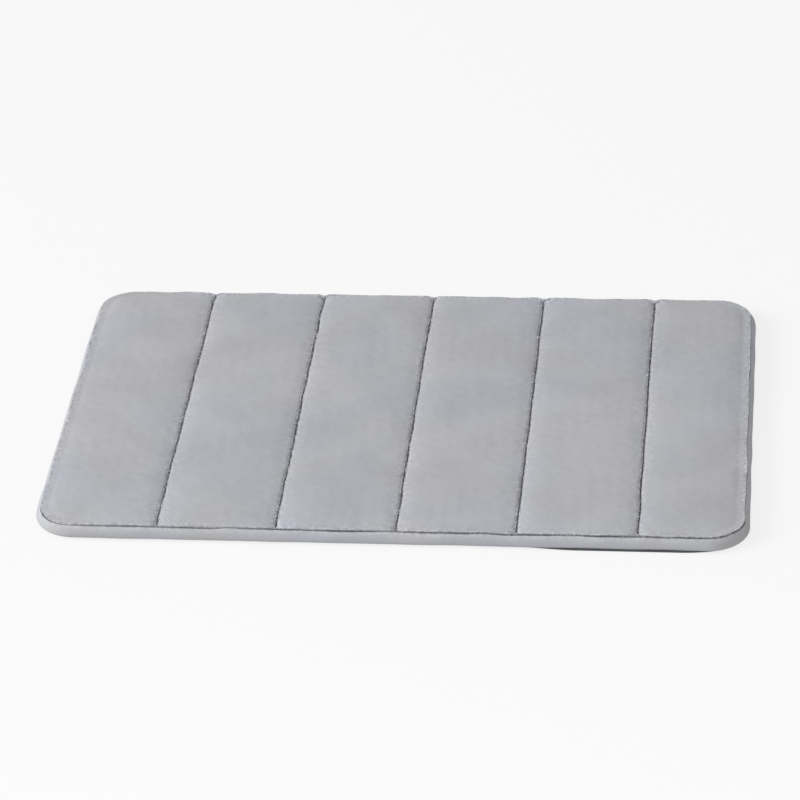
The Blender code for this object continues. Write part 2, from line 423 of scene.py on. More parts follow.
def puff(x, y):
    """How far the pressed cover has moved at plan places: nothing until it has been simulated."""
    if PUFF["field"] is None:
        return 0.0
    u = np.interp(x, PUFF["x"], np.arange(len(PUFF["x"])))
    v = np.interp(y, PUFF["y"], np.arange(len(PUFF["y"])))
    return sample_field(PUFF["field"], u, v)


print("weights half way:", cubic_weights(np.array(0.5)))

# %% [markdown]
# ## The shape of a padded panel
#
# Foam under a sewn cover is flat on top and rounds off at its edges. Towards a channel the cover
# dips in two stages: a soft shoulder a finger wide, where the foam gives, and a crease no wider
# than the needle's pull. Both are falling exponentials of the distance from the sewn line.
# Towards the outside it rolls over and tucks into the seam, which gapes a little more at the
# right end than at the left. Where a channel runs out into the seam, its stitches draw the edge
# in and down. Sums of soft waves keep the surface and the seam from being quite even.

# %% Sizes of the shape
SHOULDER_DROP = 0.0024
SHOULDER_WIDTH = 0.0062
CREASE_WIDTH = 0.00058
CREASE_Z = STITCH_Z + 0.0018
PUCKER_PITCH = 0.0046
ROLL_WIDTH = 0.0110
ROLL_TOP_DROP = 0.0016
SHOULDER_REACH = 0.0100
ROLL_INSET = 0.0042
SEAM_INSET = 0.0057
SEAM_OPENING = 0.0010
SEAM_TUCK_Z = SEAM_Z + 0.0010
WIDEST_Z = SEAM_Z + 0.0023
SKIRT_Z = BACKING_Z + 0.0008
SKIRT_SHARE = 0.04
TUCK_SHARE = 0.26
PINCH_WIDTH = 0.0035
PINCH_IN, PINCH_DOWN = 0.0012, 0.0008
SWELL, SWELL_WAVE = 0.00016, 0.060
RIPPLE, RIPPLE_WAVE = 0.00006, 0.012
SEAM_STRAY, SEAM_WAVE = 0.00032, 0.045
TUCK_REACH = 0.0022
PINCH_START, PINCH_STOP, PINCH_FADE = 0.003, 0.004, 0.010
DIP_START, DIP_FADE = 0.0030, 0.0050
STRAY_START, LIFT_REACH, EVEN_REACH = 0.004, 0.009, 0.020


def wander(y, number):
    """How far a sewn line strays sideways from straight."""
    return 0.00022 * ripple(y, 0.0 * y, 0.060, 40 + number, 6)


def channel_distance(x, y):
    """Distance to the nearest sewn line."""
    return np.min([np.abs(x - line - wander(y, i)) for i, line in enumerate(CHANNELS)], axis=0)


def roll_profile(distance):
    """The cover's edge, cut across: inset and height for a distance in along the surface.

    It climbs a skirt inside the band, goes round a small quarter ellipse out of the seam to the
    widest point, and over a wide flat quarter ellipse to the top.
    """
    share = np.clip(distance / ROLL_WIDTH, 0.0, 1.0)
    top_z = CREST_Z - ROLL_TOP_DROP
    skirt = np.clip(share / SKIRT_SHARE, 0.0, 1.0)
    lower = np.clip((share - SKIRT_SHARE) / (TUCK_SHARE - SKIRT_SHARE), 0.0, 1.0) * math.pi / 2
    upper = np.clip((share - TUCK_SHARE) / (1.0 - TUCK_SHARE), 0.0, 1.0) * math.pi / 2
    tuck = (SEAM_INSET - ROLL_INSET) * np.sin(lower)
    inset = SEAM_INSET - tuck + (ROLL_WIDTH - ROLL_INSET) * (1.0 - np.cos(upper))
    height = SKIRT_Z + (SEAM_TUCK_Z - SKIRT_Z) * skirt
    height = height + (WIDEST_Z - SEAM_TUCK_Z) * (1.0 - np.cos(lower))
    height = height + (top_z - WIDEST_Z) * np.sin(upper)
    inset = np.where(distance < ROLL_WIDTH, inset, distance)
    crown = 1.0 - np.exp(-np.maximum(distance - ROLL_WIDTH, 0.0) / SHOULDER_REACH)
    return inset, height + ROLL_TOP_DROP * crown


def seam_lift(x, y):
    """How far the edge seam rides up or down, as a sewn seam does."""
    return 0.00022 * ripple(x, y, 0.032, 22)


def dip(distance, y):
    """How far the cover dips at a distance from a sewn line.

    The crease is exp(-(distance / width) ** 1.2), and its width is a cosine of the place along
    it, one wave for each pucker. The shoulder is a plain falling exponential.
    """
    full = CREST_Z - CREASE_Z
    pucker = np.cos(2 * math.pi * y / PUCKER_PITCH + 1.5 * ripple(y, 0 * y, 0.03, 31, 6))
    width = CREASE_WIDTH * (1.0 + 0.16 * pucker + 0.14 * ripple(y, 0 * y, 0.011, 32, 6))
    crease = (full - SHOULDER_DROP) * np.exp(-((distance / width) ** 1.2))
    return crease + SHOULDER_DROP * np.exp(-distance / SHOULDER_WIDTH)


def cover_points(x, y):
    """The cover's surface over the plan grid (x, y).

    A point moves straight in from the outline by the roll's inset, and its height is the roll's
    height less the dip of the nearest channel. Smooth steps of the distance from the outline
    fade the pinch at a channel's end, the swells, and the seam's own waves in and out.
    """
    puffed = puff(x, y)
    x, y = round_corners(x, y)
    distance, in_x, in_y = inside_outline(x, y)
    inset, height = roll_profile(distance)
    shift = inset - distance
    tucked = 1.0 - smooth_step(distance / TUCK_REACH)
    shift = shift + SEAM_OPENING * tucked * x / HALF_WIDTH
    away = channel_distance(x, y)
    pinch = 1.0 - smooth_step((distance - PINCH_STOP) / PINCH_FADE)
    pinch = np.exp(-((away / PINCH_WIDTH) ** 2)) * pinch
    shift = shift + PINCH_IN * pinch
    height = height - PINCH_DOWN * pinch * smooth_step(distance / PINCH_START)
    open_end = smooth_step((distance - DIP_START) / DIP_FADE)
    height = height - dip(away, y) * open_end
    uneven = smooth_step(distance / EVEN_REACH)
    height = height + uneven * SWELL * ripple(x, y, SWELL_WAVE, 7)
    height = height + uneven * RIPPLE * ripple(x, y, RIPPLE_WAVE, 8)
    near_seam = (1.0 - uneven) * smooth_step(distance / STRAY_START)
    shift = shift + near_seam * SEAM_STRAY * ripple(x, y, SEAM_WAVE, 9)
    height = height + (1.0 - smooth_step(distance / LIFT_REACH)) * seam_lift(x, y)
    return np.stack([x + in_x * shift, y + in_y * shift, height], axis=-1) + puffed


print("panel falls", round(float(dip(np.zeros(1), np.zeros(1))[0]) * 1000, 1), "mm at a sewn line")

# %% [markdown]
# ## Inflating the coarse copy
#
# The copy has a line of points on every sewn line and along the seam, and those stay where they
# are. The cloth is cut one per cent too large, as a cover is eased onto its foam, so between the
# held lines it lifts and settles unevenly.


# %% Cloth under pressure
def coarse_lines(marks, cell):
    """Evenly spaced lines between marks, with every mark kept, and the numbers of the marks."""
    counts = np.maximum(np.round(np.diff(marks) / cell).astype(int), 1)
    parts = [np.linspace(a, b, n, endpoint=False) for a, b, n in zip(marks[:-1], marks[1:], counts)]
    return np.concatenate([*parts, marks[-1:]]), np.concatenate([[0], np.cumsum(counts)])


PRESSING = {"quality": 5, "mass": 0.3, "use_pressure": True, "uniform_pressure_force": 4.0}
PRESSING |= {"tension_stiffness": 20.0, "compression_stiffness": 20.0}
PRESSING |= {"bending_stiffness": 0.8, "shrink_min": -0.01}


def press_cover(cell=0.0055, frames=20, share=0.08, most=0.0009):
    """Inflates the coarse cover and returns its plan lines and how far every point of it moved."""
    seam = TUCK_SHARE * ROLL_WIDTH
    x_marks = np.concatenate([[-HALF_WIDTH, -HALF_WIDTH + seam], CHANNELS, [HALF_WIDTH - seam, HALF_WIDTH]])
    y_marks = np.array([-HALF_DEPTH, -HALF_DEPTH + seam, HALF_DEPTH - seam, HALF_DEPTH])
    x_lines, x_held = coarse_lines(x_marks, cell)
    y_lines, y_held = coarse_lines(y_marks, cell)
    start = cover_points(*np.meshgrid(x_lines, y_lines, indexing="ij"))
    rows, columns = start.shape[:2]
    quads, caps = closed_quads(rows, columns), end_caps(rows, columns)
    cloth = make_mesh("coarse_cover", start.reshape(-1, 3), quads, COVER_VELVET, caps)
    held = np.zeros((rows, columns), bool)
    held[x_held], held[:, y_held] = True, True
    group = cloth.vertex_groups.new(name="held")
    group.add(np.flatnonzero(held.ravel()).tolist(), 1.0, "REPLACE")
    pressed = cloth.modifiers.new("pressed", "CLOTH")
    for key, value in PRESSING.items():
        setattr(pressed.settings, key, value)
    pressed.settings.effector_weights.gravity = 0.0
    pressed.settings.vertex_group_mass = "held"
    pressed.collision_settings.use_collision = False
    pressed.point_cache.frame_end = frames
    for moment in range(1, frames + 1):
        bpy.context.scene.frame_set(moment)
    settled = cloth.evaluated_get(bpy.context.evaluated_depsgraph_get())
    end = np.zeros(rows * columns * 3, np.float32)
    settled.data.vertices.foreach_get("co", end)
    bpy.context.scene.frame_set(1)
    bpy.data.objects.remove(cloth)
    moved = share * (end.reshape(start.shape) - start)
    size = np.maximum(np.linalg.norm(moved, axis=-1, keepdims=True), 1e-9)
    print("cover moves by up to", round(float(size.max()) * 1000, 2), "mm before the cap")
    return x_lines, y_lines, moved * most * np.tanh(size / most) / size


PUFF["x"], PUFF["y"], PUFF["field"] = press_cover()
lift = puff(PANEL_MIDDLES[1:2], np.zeros(1))[0, 2]
print("lift in a panel's middle:", round(float(lift) * 1000, 2), "mm")

# %% [markdown]
# ## The padded cover
#
# Each piece of cover runs from the middle of one panel over a sewn line to the middle of the
# next, and the two ends take their whole end of the mat. Cut this way, the borders lie where
# the cover is flat, and each piece holds just one sewn line. The grid lines crowd
# together at the crease and at the edge. The form is closed with one strip per grid line below
# and a flat cap at each end, so that it is a real padded volume.


# %% Cover pieces
FINE, COARSE = 0.00025, 0.0015
EDGE_FINE, EDGE_COARSE = 0.00022, 0.0011


def spaced_lines(length, to_edge):
    """Places from a sewn line to a border, which also crowd together where that is an outer edge."""
    return graded_both(length, FINE, COARSE, EDGE_FINE) if to_edge else graded(length, FINE, COARSE)


def cover_lines(number):
    """Places of one piece's grid lines, closest together at the sewn line and at an outer edge."""
    line, low, high = CHANNELS[number], BORDERS[number], BORDERS[number + 1]
    left = spaced_lines(line - low, number == 0)
    right = spaced_lines(high - line, number == len(CHANNELS) - 1)
    return line + np.concatenate([-left[:0:-1], right])


def crush_and_painted_share(x, y):
    """How much pile crush, painted shade and painted highlight the cover gets: falling exponentials of the
    distances to a sewn line and the seam.
    """
    line = np.exp(-channel_distance(x, y) / 0.0050)
    seam = np.exp(-np.maximum(inside_outline(x, y)[0] - ROLL_INSET, 0.0) / 0.0042)
    return np.clip(0.7 * line + 0.9 * seam, 0.0, 1.0)


def mark_crush_and_painted_light(piece, share):
    """Stores for each point how much pile crush and painted light its velvet gets, for the velvet to read."""
    mark = piece.data.attributes.new("crushed_pile", "FLOAT", "POINT")
    mark.data.foreach_set("value", share.astype(np.float32))


def cover_piece(number):
    """A closed padded form: the cover's grid, strips across below it, and a cap at either end."""
    across = cover_lines(number)
    beyond = np.concatenate([[across[0] - 0.0008], across, [across[-1] + 0.0008]])
    along = graded_both(2 * HALF_DEPTH, EDGE_FINE, EDGE_COARSE, growth=1.08) - HALF_DEPTH
    extended = cover_points(*np.meshgrid(beyond, along, indexing="ij"))
    points = extended[1:-1].reshape(-1, 3)
    quads, caps = closed_quads(len(across), len(along)), end_caps(len(across), len(along))
    piece = make_mesh(f"padded_cover_{number + 1}", points, quads, COVER_VELVET, caps)
    # Marks the painted shade and highlight near the sewn lines and the seam.
    mark_crush_and_painted_light(piece, crush_and_painted_share(points[:, 0], points[:, 1]))
    shade_by(piece, grid_normals(extended)[1:-1].reshape(-1, 3))
    return piece


covers = [cover_piece(number) for number in range(len(CHANNELS))]
for piece in covers:
    print(piece.name, len(piece.data.polygons), "faces, top at", round(max(v[2] for v in piece.bound_box), 4))

# %% [markdown]
# ## The band round the side
#
# A strip of velvet is sewn to the cover along its top edge and to the backing along its bottom
# edge. The foam behind pushes it out a little, so its face is convex and its two edges turn in.
# It is a closed profile, two cloth layers thick with the foam's pressure between them, led along
# the outline. The outline is a chain of straight runs and quarter circles, so a point on it is
# found by interpolating the arc centres and the direction of the edge over the distance.

# %% Outline as a path
FLAT_X = HALF_WIDTH - CORNER_RADIUS
FLAT_Y = HALF_DEPTH - CORNER_RADIUS
QUARTER = CORNER_RADIUS * math.pi / 2
RUNS = [0, FLAT_X, QUARTER, 2 * FLAT_Y, QUARTER, 2 * FLAT_X, QUARTER, 2 * FLAT_Y, QUARTER, FLAT_X]
STATIONS = np.cumsum(RUNS)
TURNS = -np.radians([90, 90, 180, 180, 270, 270, 360, 360, 450, 450])
CENTRE_X = FLAT_X * np.array([0, -1, -1, -1, -1, 1, 1, 1, 1, 0])
CENTRE_Y = FLAT_Y * np.array([-1, -1, -1, 1, 1, 1, 1, -1, -1, -1])
BACK_MIDDLE = STATIONS[-1] / 2


def outline(distance):
    """Points and outward directions at distances along the outline, leftwards from the front's middle."""
    along = np.mod(distance, STATIONS[-1])
    turn = np.interp(along, STATIONS, TURNS)
    outward = np.stack([np.cos(turn), np.sin(turn)], axis=-1)
    centre = np.stack([np.interp(along, STATIONS, CENTRE_X), np.interp(along, STATIONS, CENTRE_Y)], axis=-1)
    return centre + CORNER_RADIUS * outward, outward


def edge_runs(number):
    """The stretches of outline that belong to one sewn line: (name, start, end) along the outline."""
    low, high = BORDERS[number], BORDERS[number + 1]
    if number == 0:
        return [("left", -high, BACK_MIDDLE + high)]
    if number == len(CHANNELS) - 1:
        return [("right", BACK_MIDDLE + low, STATIONS[-1] - low)]
    return [("front", -high, -low), ("back", BACK_MIDDLE + low, BACK_MIDDLE + high)]


print("outline is", round(STATIONS[-1], 3), "m long")

# %% Band pieces
BAND_LOW = 0.0007
BAND_WIDEST = 0.0045
BAND_HIGH = SEAM_Z + 0.0005
BAND_THICK = 0.0011
BAND_LEAN, BAND_CURL = 0.0070, 0.0045
BAND_TURN = (-72.0, 68.0)
BAND_STRAY, BAND_WAVE = 0.00020, 0.055


def band_profile(count=17):
    """The band cut across: insets and heights once round its closed profile, outer face first.

    At an angle, the outer face's inset is a lean times one less the cosine, and its height above
    the widest line is a climb times the sine. Above that line the face leans in nearly as far as
    it rises, and below it the face curls under to the backing. The inner face runs inside it.
    """
    angle = np.radians(np.linspace(*BAND_TURN, count))
    over = angle > 0
    lean = np.where(over, BAND_LEAN, BAND_CURL)
    rise = (BAND_HIGH - BAND_WIDEST) / math.sin(angle[-1])
    fall = (BAND_WIDEST - BAND_LOW) / math.sin(-angle[0])
    climb = np.where(over, rise, fall)
    inset = lean * (1.0 - np.cos(angle))
    height = BAND_WIDEST + climb * np.sin(angle)
    inner = slice(count - 2, 0, -3)
    back_inset = inset[inner] + BAND_THICK * np.cos(angle[inner])
    back_height = height[inner] - BAND_THICK * np.sin(angle[inner])
    return np.concatenate([inset, back_inset]), np.concatenate([height, back_height])


def tube_quads(along, around):
    """Corner numbers of the quads of a tube: along rings of around points."""
    ring = np.arange(along * around).reshape(along, around)
    ring = np.concatenate([ring, ring[:, :1]], axis=1)
    corners = [ring[:-1, :-1], ring[:-1, 1:], ring[1:, 1:], ring[1:, :-1]]
    return np.stack(corners, axis=-1).reshape(-1, 4)


def band_piece(number, side, start, end):
    """A strip of band between two distances along the outline, a little wavy as sewn cloth is."""
    distance = np.linspace(start, end, int((end - start) / 0.0016) + 2)
    distance = np.concatenate([[start - 0.0008], distance, [end + 0.0008]])
    place, outward = outline(distance)
    x, y = place[:, :1], place[:, 1:]
    inset, height = band_profile()
    upper = np.clip((height - BAND_WIDEST) / (BAND_HIGH - BAND_WIDEST), 0.0, 1.0)
    wave = BAND_STRAY * ripple(x, y, BAND_WAVE, 21) * (1.0 - upper)
    wave = wave + SEAM_STRAY * ripple(x, y, SEAM_WAVE, 9) * upper
    lift = seam_lift(x, y) * upper
    flat = place[:, None, :] - outward[:, None, :] * (inset[None, :] + wave)[..., None]
    extended = np.concatenate([flat, (height[None, :] + lift)[..., None]], axis=-1)
    points = extended[1:-1]
    quads = tube_quads(len(points), len(inset))
    caps = end_caps(len(points), len(inset))
    piece = make_mesh(f"edge_band_{side}_{number + 1}", points.reshape(-1, 3), quads, BAND_VELVET, caps)
    # A painted highlight along the band's top, growing towards the seam.
    mark_crush_and_painted_light(piece, np.tile(0.8 * upper**4, len(points)))
    shade_by(piece, grid_normals(extended, wrap=True)[1:-1].reshape(-1, 3))
    return piece, end - start


bands = []
for number in range(len(CHANNELS)):
    for side, start, end in edge_runs(number):
        bands.append((number, side, *band_piece(number, side, start, end)))
print(len(bands), "band pieces,", round(sum(length for *_, length in bands), 3), "m in all")

# %% [markdown]
# ## The backing and its grip dots
#
# The underside is a dark knitted cloth, and rubbery dots printed on it keep the mat from
# sliding. The cloth is a thin closed slab over the same rounded plan, and towards the front
# right its edge peeps out under the band as a dark line. A dot is a low dome of a few dozen
# faces, repeated in staggered rows: the dome is computed once, and adding every dot's place to
# it gives all dots of a piece together.

# %% Backing cloth
CLOTH_LOW = 0.0005
CLOTH_HIGH = BACKING_Z - 0.0002
CLOTH_INSET = 0.0036
PEEP_OUT = 0.0034
PEEP_FROM, PEEP_TO = 0.10, 0.285
PEEP_DROOP = (0.0004, 0.0007)


def peep_share(x, y):
    """How far the cloth's edge creeps out, 0 to 1: a smooth step up, and one down, on the front."""
    return smooth_step((x - PEEP_FROM) / 0.06) * smooth_step((PEEP_TO - x) / 0.04) * (y < 0)


def backing_piece(number):
    """A closed slab of cloth between two borders, with the mat's round corners."""
    low, high = BORDERS[number], BORDERS[number + 1]
    count = int((high - low) / 0.004) + 2
    across, along = np.linspace(low, high, count), np.linspace(-HALF_DEPTH, HALF_DEPTH, 101)
    x, y = round_corners(*np.meshgrid(across, along, indexing="ij"))
    distance, in_x, in_y = inside_outline(x, y)
    peep = peep_share(x, y) * (distance < CLOTH_INSET)
    shift = np.clip(CLOTH_INSET - distance, 0.0, None) - PEEP_OUT * peep
    x, y = x + in_x * shift, y + in_y * shift
    under = np.stack([x, y, CLOTH_LOW - PEEP_DROOP[0] * peep], axis=-1).reshape(-1, 3)
    over = np.stack([x, y, CLOTH_HIGH - PEEP_DROOP[1] * peep], axis=-1).reshape(-1, 3)
    rows, columns = x.shape
    inner = np.arange(rows * columns).reshape(rows, columns)
    rim = np.concatenate([inner[:-1, 0], inner[-1, :-1], inner[:0:-1, -1], inner[0, :0:-1]])
    after = np.roll(rim, -1)
    walls = np.stack([rim, after, after + len(under), rim + len(under)], axis=-1)
    quads = np.concatenate([grid_quads(rows, columns), grid_quads(rows, columns, len(under)), walls])
    return make_mesh(f"backing_cloth_{number + 1}", np.concatenate([under, over]), quads, BACKING)


backings = [backing_piece(number) for number in range(len(CHANNELS))]
print(len(backings), "pieces of backing cloth,", len(backings[0].data.polygons), "faces in the first")

# %% Small forms, repeated
def spokes(side, other, count):
    """Directions round an axis: the cosine times one side vector plus the sine times the other."""
    angle = np.arange(count) * 2 * math.pi / count
    return side[:, None, :] * np.cos(angle)[None, :, None] + other[:, None, :] * np.sin(angle)[None, :, None]


def repeated_quads(count, rings, around, lid):
    """Quads of many copies of a small tube, whose first and last rings a lid closes.

    A copy's corner numbers are the first copy's, plus its place in the row times its points.
    """
    offsets = np.arange(count)[:, None, None] * rings * around
    lids = np.concatenate([lid, np.array(lid) + (rings - 1) * around])
    return np.concatenate([(offsets + part).reshape(-1, 4) for part in (tube_quads(rings, around), lids)])


# %% Grip dots
DOT_PITCH = 0.0065
DOT_RADIUS = 0.0011
DOT_MARGIN = 0.009
DOT_RISE = np.array([0.0, 0.35, 0.75, 1.0])
DOT_RINGS, DOT_AROUND = len(DOT_RISE), 8
DOT_LID = [[0, 1, 2, 3], [0, 3, 4, 7], [7, 4, 5, 6]]


def dot_rows(low, high):
    """Places of dots in staggered rows between two borders, clear of the rounded outline."""
    rows = np.arange(-40, 41)
    columns = np.arange(-60, 61)
    x = columns[:, None] * DOT_PITCH + 0.5 * DOT_PITCH * (rows[None, :] % 2)
    y = np.broadcast_to(rows[None, :] * DOT_PITCH * math.sqrt(0.75), x.shape)
    inside = inside_outline(x, y)[0] > DOT_MARGIN
    chosen = inside & (x >= low) & (x < high)
    return np.stack([x[chosen], y[chosen]], axis=-1)


def grip_dots(number):
    """Low rubbery domes: a ring's radius shrinks as the root of 1 less 0.93 of its rise squared."""
    places = dot_rows(BORDERS[number], BORDERS[number + 1])
    angle = np.arange(DOT_AROUND) * 2 * math.pi / DOT_AROUND
    radius = DOT_RADIUS * np.sqrt(1.0 - DOT_RISE**2 * 0.93)
    height = CLOTH_LOW + 0.0001 - DOT_RISE * (CLOTH_LOW + 0.00005)
    across, along = radius[:, None] * np.cos(angle), radius[:, None] * np.sin(angle)
    dome = np.stack([across, along, np.broadcast_to(height[:, None], across.shape)], axis=-1).reshape(-1, 3)
    corner = np.concatenate([places, np.zeros((len(places), 1))], axis=-1)
    points = (corner[:, None, :] + dome[None, :, :]).reshape(-1, 3)
    quads = repeated_quads(len(places), DOT_RINGS, DOT_AROUND, DOT_LID)
    return make_mesh(f"grip_dots_{number + 1}", points, quads, RUBBER)


dots = [grip_dots(number) for number in range(len(CHANNELS))]
print("grip dots:", sum(len(piece.data.vertices) for piece in dots) // (DOT_RINGS * DOT_AROUND))

# %% [markdown]
# ## Stitches
#
# Down each channel the needle pulls the cover onto the backing, and a row of short stitches
# lies in the crease. More stitches close the seam between the cover and the band. A stitch is a
# bead of thread bent like a low bridge, whose thickness fades to nothing at its ends.

# %% Stitches
STITCH_LENGTH, STITCH_PITCH = 0.0026, 0.003
STITCH_INSET = 0.0052
STITCH_RINGS, STITCH_AROUND = 7, 6
STITCH_LID = [[0, 1, 2, 3], [0, 3, 4, 5]]


def stitch_row(name, middles, along, upward, radius, rise):
    """Stitches at many middles, each a tube of rings along a low bridge.

    With t from -1 to 1 along it, it is rise * (1 - t ** 2) high and radius * sqrt(1 - t ** 4) thick.
    """
    travel = np.linspace(-1.0, 1.0, STITCH_RINGS)
    thick = radius * np.sqrt(np.maximum(1.0 - travel**4, 0.04))
    sideways = np.cross(along, upward)
    spine = along[:, None, :] * (travel * STITCH_LENGTH / 2)[None, :, None]
    spine = middles[:, None, :] + spine + upward[:, None, :] * (rise * (1.0 - travel**2))[None, :, None]
    ring = spokes(sideways, upward, STITCH_AROUND)
    points = spine[:, :, None, :] + ring[:, None, :, :] * thick[None, :, None, None]
    quads = repeated_quads(len(middles), STITCH_RINGS, STITCH_AROUND, STITCH_LID)
    return make_mesh(name, points.reshape(-1, 3), quads, THREAD)


def channel_stitches(number):
    """Evenly spaced stitches down one channel, following the line's slight wander."""
    middle_y = np.arange(-HALF_DEPTH + 0.010, HALF_DEPTH - 0.009, STITCH_PITCH)
    middle_x = CHANNELS[number] + wander(middle_y, number)
    middles = np.stack([middle_x, middle_y, np.full_like(middle_y, CREASE_Z)], axis=-1)
    along = np.tile([0.0, 1.0, 0.0], (len(middles), 1))
    upward = np.tile([0.0, 0.0, 1.0], (len(middles), 1))
    return stitch_row(f"channel_stitches_{number + 1}", middles, along, upward, 0.00022, 0.0002)


def seam_stitches(number):
    """Evenly spaced stitches along the seam of one stretch of the edge."""
    runs = [np.arange(start + STITCH_PITCH / 2, end, STITCH_PITCH) for _, start, end in edge_runs(number)]
    place, outward = outline(np.concatenate(runs))
    height = SEAM_Z + 0.0007 + seam_lift(place[:, :1], place[:, 1:])
    middles = np.concatenate([place - outward * STITCH_INSET, height], axis=-1)
    outward = np.concatenate([outward, np.zeros_like(height)], axis=-1)
    along = np.stack([outward[:, 1], -outward[:, 0], outward[:, 2]], axis=-1)
    return stitch_row(f"seam_stitches_{number + 1}", middles, along, outward, 0.0002, 0.0003)


line_stitches = [channel_stitches(number) for number in range(len(CHANNELS))]
edge_stitches = [seam_stitches(number) for number in range(len(CHANNELS))]
stitch_points = sum(len(piece.data.vertices) for piece in line_stitches + edge_stitches)
print("stitches:", stitch_points // (STITCH_RINGS * STITCH_AROUND))

# %% [markdown]
# ## Pile in the seams
#
# Where velvet is sewn its pile is pressed and turned, and tips stick out of the seam and
# along the lips of each channel. They are coloured far paler than the velvet, a painted
# highlight where the tips catch the light. A tuft is a thin four-sided spike. All tufts of a
# piece are made together from arrays of their roots, directions, lengths and thicknesses.

# %% Tufts
# The tips' pale grey is a painted highlight; the fibre is the velvet's own.
PILE_PAINTED_PALE = plain_finish("pile_tips", (0.68, 0.685, 0.71), 0.9, 1500.0, 0.0001, 0.1)
TUFT_GAP = 0.0005
TUFT_INSETS = (0.0048, 0.0062)
TUFT_HEIGHTS = (SEAM_Z + 0.0004, SEAM_Z + 0.0015)
TUFT_LENGTHS, TUFT_RADII = (0.0006, 0.0018), (0.00012, 0.00030)
TUFT_TRAVEL, TUFT_THICK = np.array([-0.15, 0.5, 1.0]), np.array([1.0, 0.75, 0.15])
TUFT_RINGS, TUFT_AROUND = len(TUFT_TRAVEL), 4


def tuft_mesh(name, roots, ways, lengths, radii):
    """Spikes of three rings: full at the root, most of that half way, and a fine tip.

    A ring's middle is the root plus the way times the length times the ring's share of it.
    """
    side = np.cross(ways, [0.31, 0.47, 0.83])
    side /= np.linalg.norm(side, axis=-1, keepdims=True)
    other = np.cross(ways, side)
    ring = spokes(side, other, TUFT_AROUND)
    spine = roots[:, None, :] + ways[:, None, :] * (lengths[:, None] * TUFT_TRAVEL)[..., None]
    reach = (radii[:, None] * TUFT_THICK)[..., None, None]
    points = spine[:, :, None, :] + ring[:, None, :, :] * reach
    quads = repeated_quads(len(roots), TUFT_RINGS, TUFT_AROUND, [[0, 1, 2, 3]])
    return make_mesh(name, points.reshape(-1, 3), quads, PILE_PAINTED_PALE)


def seam_roots(draw, number):
    """Roots and directions of the tufts in one piece's seam, at random places along it."""
    runs = [draw.uniform(start, end, int((end - start) / TUFT_GAP)) for _, start, end in edge_runs(number)]
    place, outward = outline(np.concatenate(runs))
    inset = draw.uniform(*TUFT_INSETS, (len(place), 1))
    height = draw.uniform(*TUFT_HEIGHTS, (len(place), 1))
    height = height + seam_lift(place[:, :1], place[:, 1:])
    roots = np.concatenate([place - outward * inset, height], axis=-1)
    lean = draw.uniform(-0.8, 0.8, (len(place), 1))
    sideways = np.stack([outward[:, 1], -outward[:, 0]], axis=-1)
    ways = np.concatenate([outward + sideways * lean, draw.uniform(-0.2, 0.9, (len(place), 1))], axis=-1)
    return roots, ways


def lip_roots(draw, number):
    """Roots and directions of the tufts on both lips of one channel, leaning over the crease."""
    count = int(2 * HALF_DEPTH / TUFT_GAP)
    y = draw.uniform(-HALF_DEPTH + 0.006, HALF_DEPTH - 0.006, count)
    away = draw.choice([-1.0, 1.0], count) * draw.uniform(0.0007, 0.0016, count)
    roots = cover_points(CHANNELS[number] + wander(y, number) + away, y)
    ways = np.stack([-0.6 * np.sign(away), draw.uniform(-0.8, 0.8, count), np.ones(count)], axis=-1)
    return roots, ways


def pile_piece(number):
    """The tufts of one piece, with random lengths and thicknesses."""
    draw = np.random.default_rng(60 + number)
    found = [seam_roots(draw, number), lip_roots(draw, number)]
    roots = np.concatenate([roots for roots, _ in found])
    ways = np.concatenate([ways for _, ways in found])
    ways = ways / np.linalg.norm(ways, axis=-1, keepdims=True)
    lengths = draw.uniform(*TUFT_LENGTHS, len(roots))
    radii = draw.uniform(*TUFT_RADII, len(roots))
    return tuft_mesh(f"seam_pile_{number + 1}", roots, ways, lengths, radii)


piles = [pile_piece(number) for number in range(len(CHANNELS))]
print("tufts:", sum(len(piece.data.vertices) for piece in piles) // (TUFT_RINGS * TUFT_AROUND))

# %% [markdown]
# ## Standing in for the working model
#
# Each piece stands for the plain solids of the working model that it covers: its
# place is baked into its points, and those solids are hidden.

# %% What each piece stands for
SLOTS = [
    (covers, "cover_velvet"),
    (backings, "non_slip_backing"),
    (dots, "non_slip_backing"),
    (line_stitches, "thread"),
    (edge_stitches, "thread"),
    (piles, "cover_velvet"),
]


def cad_edges(number):
    """Edges of the working model that one channel's pieces cover: the first takes the left end."""
    if number == 0:
        return ["left"]
    long_sides = [f"front_{number + 1}", f"back_{number + 1}"]
    return long_sides + ["right"] if number == len(CHANNELS) - 1 else long_sides


print("edges:", [cad_edges(number) for number in range(len(CHANNELS))])

for number, line in enumerate(CHANNELS):
    strips = [(side, piece, length) for index, side, piece, length in bands if index == number]
    for piece in [pieces[number] for pieces, _ in SLOTS] + [piece for _, piece, _ in strips]:
        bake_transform(piece)
    last = number == len(CHANNELS) - 1
    numbers = [number + 1, number + 2] if last else [number + 1]
    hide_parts(*[f"{layer}_{n}" for n in numbers for layer in ("top_cover", "foam_core")])
    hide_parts(*[f"backing_{n}" for n in numbers])
    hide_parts(f"channel_thread_{number + 1}")
    edges = cad_edges(number)
    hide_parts(*[f"edge_thread_{edge}" for edge in edges])
    for side, piece, length in strips:
        owned = edges if side in ("left", "right") else [f"{side}_{number + 1}"]
        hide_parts(*[f"side_band_{edge}" for edge in owned])

# %% [markdown]
# ## Floor, light and camera
#
# The mat lies on a plain pale floor. Low soft light from the left shows the channels: the slope
# that faces it brightens and the other one falls dark. The rest of the light comes from all
# round, as in a white studio. The floor glows a little, so that it stays one even tone under a
# light from one side, and the backdrop shows as pale as the floor without lighting the mat more.

